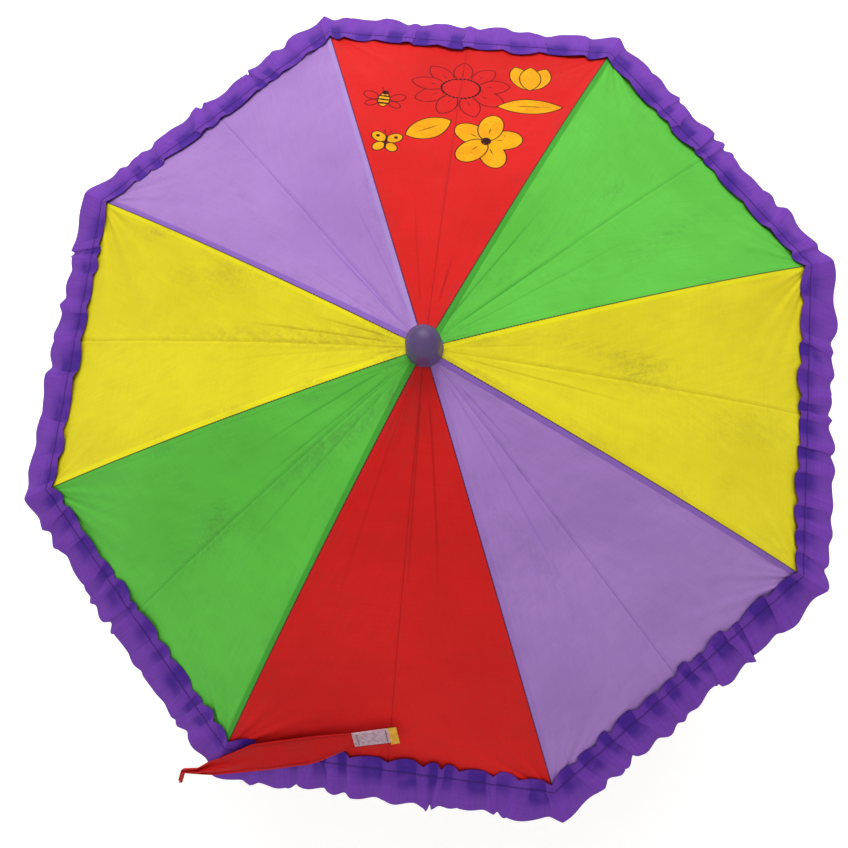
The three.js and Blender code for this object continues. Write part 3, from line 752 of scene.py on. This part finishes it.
# ---- the canopy
def half_gore(gore, side, band):
    """One band of half a gore. Side 1 is the half beside the gore's own rib, and -1 the half beside the next."""
    rib = gore if side > 0 else after(gore)
    is_printed = gore == PRINTED_GORE and band == LAST_BAND
    start, end = BANDS[band], BANDS[band + 1]
    if is_printed:
        along = np.concatenate([np.arange(start, 0.325, 0.0009), np.linspace(0.325, end, 18)])
        share = np.linspace(0, 0.5, 118)
    else:
        along = np.linspace(start, end, BAND_ROWS[band])
        share = 0.5 * np.linspace(0, 1, BAND_COLUMNS[band]) ** 1.15
    if side < 0:
        share = 1 - share
    along, share = np.meshgrid(along, share, indexing="ij")
    points = cloth_point(gore, along, share)
    near = share if side > 0 else 1 - share
    chord = spans(along, share)[0]
    fields = {
        "cloth": np.stack([side * near * chord, along + 0.5 * gore, near * chord], -1),
        "middle": (share - 0.5) * chord,
        "tones": cloth_tones(gore, along, share),
    }
    if is_printed:
        fields["ink"], fields["outline"] = printed(along, share)
    material = PRINTED_FABRIC if is_printed else FABRICS[colour_of(gore)]
    half = "first" if side > 0 else "second"
    name = f"{colour_of(gore)}_gore_{gore}_{half}_{BAND_NAMES[band]}"
    piece = cloth_mesh(name, points, cloth_normal(gore, along, share), CLOTH_THICKNESS, material, fields)
    fold(piece, rib)
    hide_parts(f"{colour_of(gore)}_gore_{gore}_{half}_half")


for gore in range(1, RIB_COUNT + 1):
    for side in (1, -1):
        for band in range(len(BAND_NAMES)):
            half_gore(gore, side, band)

# ---- the ruffle
HEADING = 0.010  # the ruffle's narrow edge, on the canopy
SKIRT = 0.036  # and its wide edge, beyond the stitches
HEM_RADIUS = float(rib_point(HEM)[0])
HALF_HEM = HEM_RADIUS * HALF_SIN
PLEAT_STEPS = 18
SEWN_ROW = 7  # the first row of the skirt
CREST_REACH = 1.004  # a little past the middle of the gore


def layer_height(x, y, above):
    """How high a layer over the canopy is at a place on a rib's plan."""
    middle = np.where(y < 0, -1, 1) * SECTOR / 2
    radius = (x * np.cos(middle) + y * np.sin(middle)) / HALF_COS
    hem_radius, hem_height = rib_point(HEM, above)
    inside = rib_point(along_at(np.minimum(radius, hem_radius) - above * math.sin(TIP_SLOPE)), above)[1]
    outside = hem_height - (radius - hem_radius) * HALF_COS * math.tan(RUFFLE_SLOPE)
    return np.where(radius < hem_radius, inside, outside)


def pleat_fold(bend):
    """The line of one pleat, from crest to crest: how far along it is, from 0 to 1, and how far down, from 0 to -1."""
    turn = np.linspace(0, 2 * math.pi, 20 * PLEAT_STEPS + 1)
    heading = -bend * np.sin(turn)
    forward = np.concatenate([[0], np.cumsum(np.cos((heading[1:] + heading[:-1]) / 2))])
    down = np.concatenate([[0], np.cumsum(np.sin((heading[1:] + heading[:-1]) / 2))])
    return (forward / forward[-1])[::20], (down / -down.min())[::20]


def ruffle_grid(rib, side):
    """The ruffle on one side of a rib, in the rib's plan: points, and each point's tones and place on the cloth."""
    draw = np.random.default_rng(100 + 10 * rib + side)
    pleats = int(draw.integers(4, 7))
    crests = np.concatenate([[0], np.cumsum(draw.uniform(0.45, 1.7, pleats))])
    crests *= CREST_REACH / crests[-1]
    depth = np.concatenate([[1], draw.uniform(0.3, 1.25, pleats - 1), [1]])
    reach = np.concatenate([[0], draw.uniform(-0.0055, 0.0055, pleats - 1), [0]])
    drift = np.concatenate([[0], draw.uniform(-0.006, 0.006, pleats - 1), [0]])
    lean = side * draw.uniform(0.5, 1.5, pleats) * np.where(draw.random(pleats) < 0.75, 1, -1)
    tilt = 0.0030 * np.sign(lean) * draw.uniform(0.2, 1.5, pleats)
    tight = draw.uniform(0.5, 1.0, pleats)  # how sharply each pleat is folded
    # How many layers lie at the stitches sets how dark the painted shade among them is.
    gather_shade = draw.uniform(0.2, 1.0, pleats)  # how many layers lie at the stitches
    scallop = draw.uniform(0.3, 1.3, pleats)
    flutter = draw.uniform(0, 2 * math.pi, 3)
    rows = np.concatenate([np.linspace(-HEADING, -0.0015, SEWN_ROW), np.linspace(0, SKIRT, 24)])
    points, tones, cloth = [], [], []
    for row in rows:
        out = max(row, 0) / SKIRT
        back = max(-row, 0) / HEADING
        height = 0.0009 + 0.0021 * out**0.8 + 0.0008 * back
        sway = 0.0062 - 0.0028 * out - 0.0025 * back
        line, tone, place = [], [], []
        for k in range(pleats):
            share = np.linspace(0, 1, PLEAT_STEPS + 1)
            ahead, fall = pleat_fold(tight[k] * (1.9 - 1.15 * smooth(out, 0.0, 0.8) - 0.5 * back))
            if k:
                share, ahead, fall = share[1:], ahead[1:], fall[1:]
            start, end = (HALF_HEM * crests[j] + drift[j] * out for j in (k, k + 1))
            along = start + ahead * (end - start) - lean[k] * tight[k] * fall * sway * (end - start) / 0.026
            deep = depth[k] * (1 - share) + depth[k + 1] * share
            extra = reach[k] * (1 - share) + reach[k + 1] * share
            wide = row + out * (extra + 0.002 * fall * deep + tilt[k] * np.sin(2 * math.pi * share))
            wide = wide + back * (0.0015 - 0.0052 * scallop[k] * np.sin(math.pi * share) ** 0.7)
            wave = 0.0006 * out * np.sin(along / 0.0037 + flutter[0]) * np.sin(math.pi * share)
            above = RUFFLE_ABOVE + 0.0004 + height * 0.8 * (deep * (1 + fall) + (1 - fall) * 0.1) + wave
            fan = SECTOR / 2 * np.clip(along / SKIRT, 0, 1)
            slope = TIP_SLOPE if row < 0 else RUFFLE_SLOPE
            x = HEM_RADIUS - along * HALF_SIN + wide * math.cos(slope) * np.cos(fan)
            y = side * (along * HALF_COS + wide * math.cos(slope) * np.sin(fan))
            side_y = np.where(np.abs(y) < 1e-7, side * 1e-7, y)
            line.append(np.stack([x, y, layer_height(x, side_y, above)], -1))
            edge = np.abs(share - 0.5) * 2  # 1 on a crest, 0 in a trough
            # Painted shade: darker in each tight pleat's trough under its fold, among the gathers near the stitches,
            # and along the fold lines and the sewn line.
            layered_shade = tight[k] ** 2 * (1 - smooth(edge, 0.25, 0.75)) * (1 - 0.85 * smooth(out, 0.25, 0.75))
            edges = bell((share - 0.5) / 0.42, 1)
            gathered = (0.25 + 0.75 * gather_shade[k] * edges) * (1 - smooth(out, 0.05, 0.25 + 0.5 * gather_shade[k]))
            fold_line_shade = tight[k] * bell((share - 0.5 - 0.25 * np.sign(lean[k])) / 0.022, 1) * (1 - smooth(out, 0.35, 0.95))
            fold_line_shade = np.maximum(fold_line_shade, 0.8 * bell(row - 0.0003, 0.0006))  # the sewn line
            tone.append(np.stack([0.3 * out * (1 - edge), np.clip(0.8 * layered_shade + gathered, 0, 1), fold_line_shade], -1))
            place.append(np.stack([(k + share) * 0.033, np.full(share.shape, row), 0 * share], -1))
        points.append(np.concatenate(line))
        tones.append(np.concatenate(tone))
        cloth.append(np.concatenate(place))
    return np.array(points), np.array(tones), np.array(cloth)


def turned(points, rib):
    """Points of a rib's plan, in the frame."""
    c, s = math.cos(rib_azimuth(rib)), math.sin(rib_azimuth(rib))
    x, y, z = (points[..., k] for k in range(3))
    return np.stack([x * c - y * s, x * s + y * c, z], -1)


def stitch_row(name, line, normals, pitch, length, thickness, material):
    """A row of separate stitches along a line of points."""
    lengths = np.concatenate([[0], np.cumsum(np.linalg.norm(np.diff(line, axis=0), axis=-1))])
    starts = np.arange(pitch / 2, lengths[-1] - length, pitch)
    points, faces = [], []
    for start in starts:
        ends = [np.array([np.interp(start + step, lengths, line[:, k]) for k in range(3)]) for step in (0, length)]
        up = np.array([np.interp(start, lengths, normals[:, k]) for k in range(3)])
        ahead = ends[1] - ends[0]
        aside = np.cross(up, ahead)
        aside *= thickness / max(np.linalg.norm(aside), 1e-9)
        first = len(points)
        points += [ends[0] - up * thickness * 0.5, ends[1] - up * thickness * 0.5]
        for share in (0.25, 0.75):
            centre = ends[0] + ahead * share
            points += [centre + aside, centre + up * thickness, centre - aside, centre - up * thickness]
        for k in range(4):
            a, b = first + 2 + k, first + 2 + (k + 1) % 4
            faces += [(first, b, a), (a, b, b + 4, a + 4), (first + 1, a + 4, b + 4)]
    return object_of(name, points, faces, material)


def half_ruffle(rib, side):
    points, tones, cloth = ruffle_grid(rib, side)
    points = turned(points, rib)
    normals = upward_normals(points)
    half = "after" if side > 0 else "before"
    fields = {"cloth": cloth, "tones": tones}
    piece = cloth_mesh(f"ruffle_{rib}_{half}", points, normals, CLOTH_THICKNESS, RUFFLE_FABRIC, fields)
    fold(piece, rib)
    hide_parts(f"ruffle_{rib}")
    width, length, area = cut_area(points)
    width = max(width, area / (HEADING + SKIRT))
    sewn = points[SEWN_ROW]
    above = sewn + np.array([0, 0, 0.0003])
    name = f"hem_stitches_{rib}_{half}"
    thread = stitch_row(name, above, normals[SEWN_ROW], 0.0034, 0.0022, 0.00028, RUFFLE_THREAD)
    fold(thread, rib)


for rib in range(1, RIB_COUNT + 1):
    for side in (1, -1):
        half_ruffle(rib, side)


# ---- the seams over the ribs
def seam_stitches(rib):
    along = np.linspace(0.012, HEM - 0.011, 400)
    line = cloth_point(rib, along, np.zeros(400)) + np.array([0, 0, 0.00025])
    normals = cloth_normal(rib, along, np.zeros(400))
    thread = stitch_row(f"seam_stitches_{rib}", line, normals, 0.0027, 0.0024, 0.00026, DARK_THREAD)
    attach(thread, f"rib_{rib}")


for rib in range(1, RIB_COUNT + 1):
    seam_stitches(rib)

# ---- the tie strap
STRAP_WIDTH = 0.025
STRAP_END_WIDTH = 0.0135
STRAP_TAPER = (0.070, 0.118)  # where it narrows
STRAP_RUN = 0.151
STRAP_TAIL = 0.060
STRAP_BEND = -0.041  # where the tail bends outwards
STRAP_TAIL_TURN = math.radians(48)
STRAP_HEADING = math.pi / 2 + SECTOR / 2 + math.radians(16.5)
STRAP_OUTSET = 0.0125
STRAP_ABOVE = 0.0075
STRAP_THICKNESS = 0.0009
ON_STRAP = STRAP_ABOVE + STRAP_THICKNESS
PATCH_THICKNESS = 0.0006
STRAP_EDGE = 0.8  # 1 where the inner edge stays straight as the strap narrows
PATCH_LENGTH = 0.029
PATCH_WIDTH = 0.012
PATCH_INSET = 0.006


def strap_share(distance):
    """How wide the strap looks, as a share of its width. It is bunched up where it comes from under the ruffle."""
    return np.interp(distance, (-0.041, -0.024, -0.011, 0.014, 0.034), (0.16, 0.24, 0.48, 0.78, 1.0))


def strap_point(distance, across, above):
    """A point of the strap. The distance runs from the rib to the free end, and is negative on the tail."""
    c, s = math.cos(STRAP_HEADING), math.sin(STRAP_HEADING)
    share = strap_share(distance)
    outer = STRAP_WIDTH / 2
    bunched = outer - (outer - across) * share
    tail = np.maximum(STRAP_BEND - distance, 0)
    forward = np.maximum(distance, STRAP_BEND) - tail * math.cos(STRAP_TAIL_TURN)
    bunched = bunched + tail * math.sin(STRAP_TAIL_TURN)
    x = HEM_RADIUS + STRAP_OUTSET + forward * c + bunched * s
    y = forward * s - bunched * c
    folds = 0.0035 * (1 - share) * np.sin(3.5 * math.pi * across / STRAP_WIDTH + 0.6)
    waver = 0.0006 * np.sin(distance / 0.017) + 0.0003 * np.sin(distance / 0.0071 + across / 0.006)
    z = layer_height(x, y, above) + waver * smooth(distance, -0.02, 0.01) + folds - 0.5 * tail
    return np.stack([x, y, z], -1)


def strap_width(distance):
    """The strap narrows near its free end, at its outer edge."""
    return STRAP_WIDTH + (STRAP_END_WIDTH - STRAP_WIDTH) * smooth(distance, *STRAP_TAPER)


def strap_grid(start, end, rows, columns, width, above, lift=None):
    distance, across = np.meshgrid(np.linspace(start, end, rows), np.linspace(-0.5, 0.5, columns), indexing="ij")
    points = strap_point(distance, across * width(distance) - STRAP_EDGE * (STRAP_WIDTH - width(distance)) / 2, above)
    if lift is not None:
        points[..., 2] += lift(distance, across)
    points = turned(points, STRAP_RIB)
    normals = upward_normals(points)
    return points, normals, distance, across


def tie_strap():
    rims = lambda distance, across: 0.0004 * bell((np.abs(across) - 0.42) / 0.06, 1)
    points, normals, distance, across = strap_grid(-STRAP_TAIL, STRAP_RUN, 190, 25, strap_width, STRAP_ABOVE, rims)
    # Painted shade along the two sewn lines, just inside the raised rims.
    sewn = bell((np.abs(across) - 0.40) / 0.03, 1)
    soil = 0.5 * smooth(soil_waves(points[..., 0], points[..., 1]), -0.5, 1.5)
    fields = {
        "cloth": np.stack([across * STRAP_WIDTH, distance, 0 * across], -1),
        "tones": np.stack([soil, 0.7 * sewn, 0 * across], -1),
    }
    strap = cloth_mesh("tie_strap_cloth", points, normals, STRAP_THICKNESS, STRAP_FABRIC, fields)
    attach(strap, f"rib_{STRAP_RIB}")
    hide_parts("tie_strap")
    width, length, area = cut_area(points)
    max(width, STRAP_WIDTH)
    for edge, column in (("inner", 2), ("outer", 22)):
        line = points[:, column] + normals[:, column] * 0.0006
        name = f"strap_stitches_{edge}"
        thread = stitch_row(name, line[80:], normals[80:, column], 0.0034, 0.0024, 0.00025, RED_THREAD)
        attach(thread, f"rib_{STRAP_RIB}")


def strap_patch():
    """The hook-and-loop patch: a felted pad with a rough edge."""
    end = STRAP_RUN - PATCH_INSET
    start = end - PATCH_LENGTH
    draw = np.random.default_rng(7)
    rough = draw.uniform(0, 0.0006, (60, 27))

    def pile(distance, across):
        rim = smooth(0.5 - np.abs(across), 0, 0.08) * smooth(distance, start, start + 0.0015)
        return (0.0008 + rough) * rim * (1 - smooth(distance, end - 0.0015, end))

    width = lambda distance: np.full(np.shape(distance), PATCH_WIDTH)
    points, normals, _, _ = strap_grid(start, end, 60, 27, width, ON_STRAP, pile)
    patch = cloth_mesh("hook_and_loop_patch", points, normals, PATCH_THICKNESS, PATCH_FABRIC, {})
    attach(patch, f"rib_{STRAP_RIB}")
    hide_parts("strap_patch")
    width, length, area = cut_area(points)
    for side, row in (("near", 8), ("far", 55)):
        line, rise = points[row, 2:25], normals[row, 2:25]
        thread = stitch_row(f"patch_stitches_{side}", line + rise * 0.0006, rise, 0.0016, 0.0013, 0.00028, RED_THREAD)
        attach(thread, f"rib_{STRAP_RIB}")


def strap_tab():
    """The yellow tape at the strap's free end."""
    width = lambda distance: np.full(np.shape(distance), STRAP_END_WIDTH + 0.0006)
    points, normals, _, _ = strap_grid(STRAP_RUN - 0.0062, STRAP_RUN + 0.0006, 8, 15, width, ON_STRAP)
    tab = cloth_mesh("strap_end_tab", points, normals, PATCH_THICKNESS, TAB_FABRIC, {})
    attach(tab, f"rib_{STRAP_RIB}")


tie_strap()
strap_patch()
strap_tab()


# ---- the cap and the handle
def lathe(name, outline, material):
    """A body of revolution from an outline of (radius, height) that starts and ends on the axis."""
    segments = 96
    points, faces = [], []
    inner = outline[1:-1]
    for radius, height in inner:
        for k in range(segments):
            turn = 2 * math.pi * k / segments
            points.append((radius * math.cos(turn), radius * math.sin(turn), height))
    points += [(0, 0, outline[0][1]), (0, 0, outline[-1][1])]
    last = len(inner) - 1
    for k in range(segments):
        after_k = (k + 1) % segments
        for row in range(last):
            a, b = row * segments + k, row * segments + after_k
            faces.append((a, b, b + segments, a + segments))
        faces.append((len(points) - 2, after_k, k))
        faces.append((len(points) - 1, last * segments + k, last * segments + after_k))
    return object_of(name, points, faces, material)


def rounded(corners, radius):
    """An outline with its inner corners rounded off."""
    out = [corners[0]]
    for before, corner, following in zip(corners, corners[1:], corners[2:]):
        before, corner, following = (np.array(p, float) for p in (before, corner, following))
        towards, onwards = before - corner, following - corner
        reach = min(radius, np.linalg.norm(towards) / 2.2, np.linalg.norm(onwards) / 2.2)
        start = corner + towards / np.linalg.norm(towards) * reach
        end = corner + onwards / np.linalg.norm(onwards) * reach
        for share in np.linspace(0, 1, 5):
            out.append(tuple((1 - share) ** 2 * start + 2 * share * (1 - share) * corner + share**2 * end))
    out.append(corners[-1])
    return out


def ferrule_cap():
    low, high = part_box("ferrule_cap")
    radius = high.x
    body = radius - 0.0008
    base = low.z + 0.0012
    dome = 0.011
    spring = high.z - dome
    corners = [(0, base), (radius - 0.004, base), (radius, low.z), (radius, base + 0.0026), (body, base + 0.0040)]
    corners += [(body - 0.0002, spring - 0.006), (body - 0.0006, spring - 0.0052)]
    corners += [(body - 0.0002, spring - 0.0044)]
    outline = rounded(corners + [(body - 0.0003, spring)], 0.0006)
    for k in range(1, 15):
        turn = k * math.pi / 28
        outline.append(((body - 0.0003) * math.cos(turn), spring + dome * math.sin(turn)))
    outline[-1] = (0, high.z)
    cap = lathe("cap_moulding", outline, PURPLE_PLASTIC)
    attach(cap, "shaft")
    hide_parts("ferrule_cap")


GRIP_LENGTH = 0.075
GRIP_RADIUS = 0.0085
HOOK_RADIUS = 0.024
HOOK_TAIL = 0.014
HOOK_END = 0.0085  # length of its rounded end
GRIP_GROOVES = (0.008, 0.014, 0.020)  # below the handle's top


def handle():
    """The grip and its hook: a round bar with three grooves, a waist and a rounded end."""
    top = GRIP_LENGTH / 2
    bend = math.pi * HOOK_RADIUS
    total = GRIP_LENGTH + bend + HOOK_TAIL
    stations = np.concatenate([np.linspace(0, 0.028, 57), np.linspace(0.029, total - HOOK_END, 120)])
    stations = np.concatenate([stations, total - HOOK_END * (1 - np.sin(np.linspace(0.1, math.pi / 2, 10)))])
    segments = 40
    points, faces = [], []
    for distance in stations:
        turn = min(max(distance - GRIP_LENGTH, 0), bend) / HOOK_RADIUS
        tail = max(0, distance - GRIP_LENGTH - bend)
        height = top - min(distance, GRIP_LENGTH) - HOOK_RADIUS * math.sin(turn) + tail
        centre = np.array([HOOK_RADIUS * (1 - math.cos(turn)), 0, height])
        sideways = np.array([math.cos(turn), 0, math.sin(turn)])
        radius = GRIP_RADIUS - 0.0003 * bell((distance - 0.045) / 0.02, 1)
        radius -= sum(0.0007 * bell((distance - groove) / 0.0009, 1) for groove in GRIP_GROOVES)
        rounding = max(0, distance - (total - HOOK_END)) / HOOK_END
        radius *= math.sqrt(max(1 - rounding**2, 0.0004))
        radius *= 1 - 0.08 * bell(distance / 0.0009, 1)
        for k in range(segments):
            angle = 2 * math.pi * k / segments
            points.append(centre + radius * (math.cos(angle) * sideways + math.sin(angle) * np.array([0, 1, 0])))
    last = len(stations) - 1
    for row in range(last):
        for k in range(segments):
            a, b = row * segments + k, row * segments + (k + 1) % segments
            faces.append((a, a + segments, b + segments, b))
    faces.append(tuple(range(segments)))
    faces.append(tuple(range((last + 1) * segments - 1, last * segments - 1, -1)))
    made = object_of("handle_moulding", points, faces, PURPLE_PLASTIC)
    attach(made, "shaft")
    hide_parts("handle")


ferrule_cap()
handle()

# ---- floor, light and camera
FLOOR_SIZE = 14.0
floor_height = cad_box[0][2] - 0.001


def floor():
    half = FLOOR_SIZE / 2
    corners = [(a * half, b * half, floor_height) for a, b in ((-1, -1), (1, -1), (1, 1), (-1, 1))]
    look = Look("pale_floor", 0.9)
    look.set("Base Color", (0.95, 0.95, 0.95, 1))
    look.set("Emission Color", (1, 1, 1, 1))
    look.set("Emission Strength", 0.42)
    made = object_of("floor", corners, [(0, 1, 2, 3)], look.material)


# The camera looks down on the canopy from a little to one side.
CAMERA_TILT = math.radians(-9.3)
CAMERA_LEAN = math.radians(-2.1)
CAMERA_ROLL = math.radians(16.25)
CAMERA_DISTANCE = 0.609
CAMERA_TARGET = 0.3035
SENSOR_WIDTH = 36
FOCAL_SHARE = 700 / 848  # of the picture's width
AXIS_SHIFT = (-0.0082, -0.0561)


def camera():
    turns = [Matrix.Rotation(turn, 3, axis) for turn, axis in zip((CAMERA_TILT, CAMERA_LEAN, CAMERA_ROLL), "XYZ")]
    axes = (turns[0] @ turns[1] @ turns[2]).transposed()
    data = bpy.data.cameras.new("camera")
    data.sensor_width = SENSOR_WIDTH
    data.lens = SENSOR_WIDTH * FOCAL_SHARE
    data.shift_x, data.shift_y = AXIS_SHIFT
    data.clip_end = 100
    made = bpy.data.objects.new("camera", data)
    place = axes @ Vector((0, 0, CAMERA_DISTANCE)) + Vector((0, 0, CAMERA_TARGET))
    made.matrix_world = Matrix.Translation(place) @ axes.to_4x4()
    bpy.context.scene.collection.objects.link(made)
    bpy.context.scene.camera = made
    return axes


def area_light(name, place, target, size, power):
    data = bpy.data.lights.new(name, "AREA")
    data.shape = "DISK"
    data.size = size
    data.energy = power
    made = bpy.data.objects.new(name, data)
    made.location = place
    made.rotation_euler = (Vector(target) - Vector(place)).to_track_quat("-Z", "Y").to_euler()
    bpy.context.scene.collection.objects.link(made)


floor()
axes = camera()
upwards = axes @ Vector((0, 1, 0))
canopy = Vector((0, 0, 0.35))
area_light("key", canopy + upwards * 1.4 + Vector((0, 0, 1.1)), canopy, 1.4, 22)
area_light("fill", canopy - upwards * 1.2 + axes @ Vector((-0.9, 0, 0)) + Vector((0, 0, 1.5)), canopy, 2.0, 2)
world = bpy.data.worlds.new("studio")
world.use_nodes = True
world.node_tree.nodes["Background"].inputs["Color"].default_value = (1, 1, 1, 1)
world.node_tree.nodes["Background"].inputs["Strength"].default_value = 0.58
bpy.context.scene.world = world
bpy.context.scene.view_settings.view_transform = "Standard"
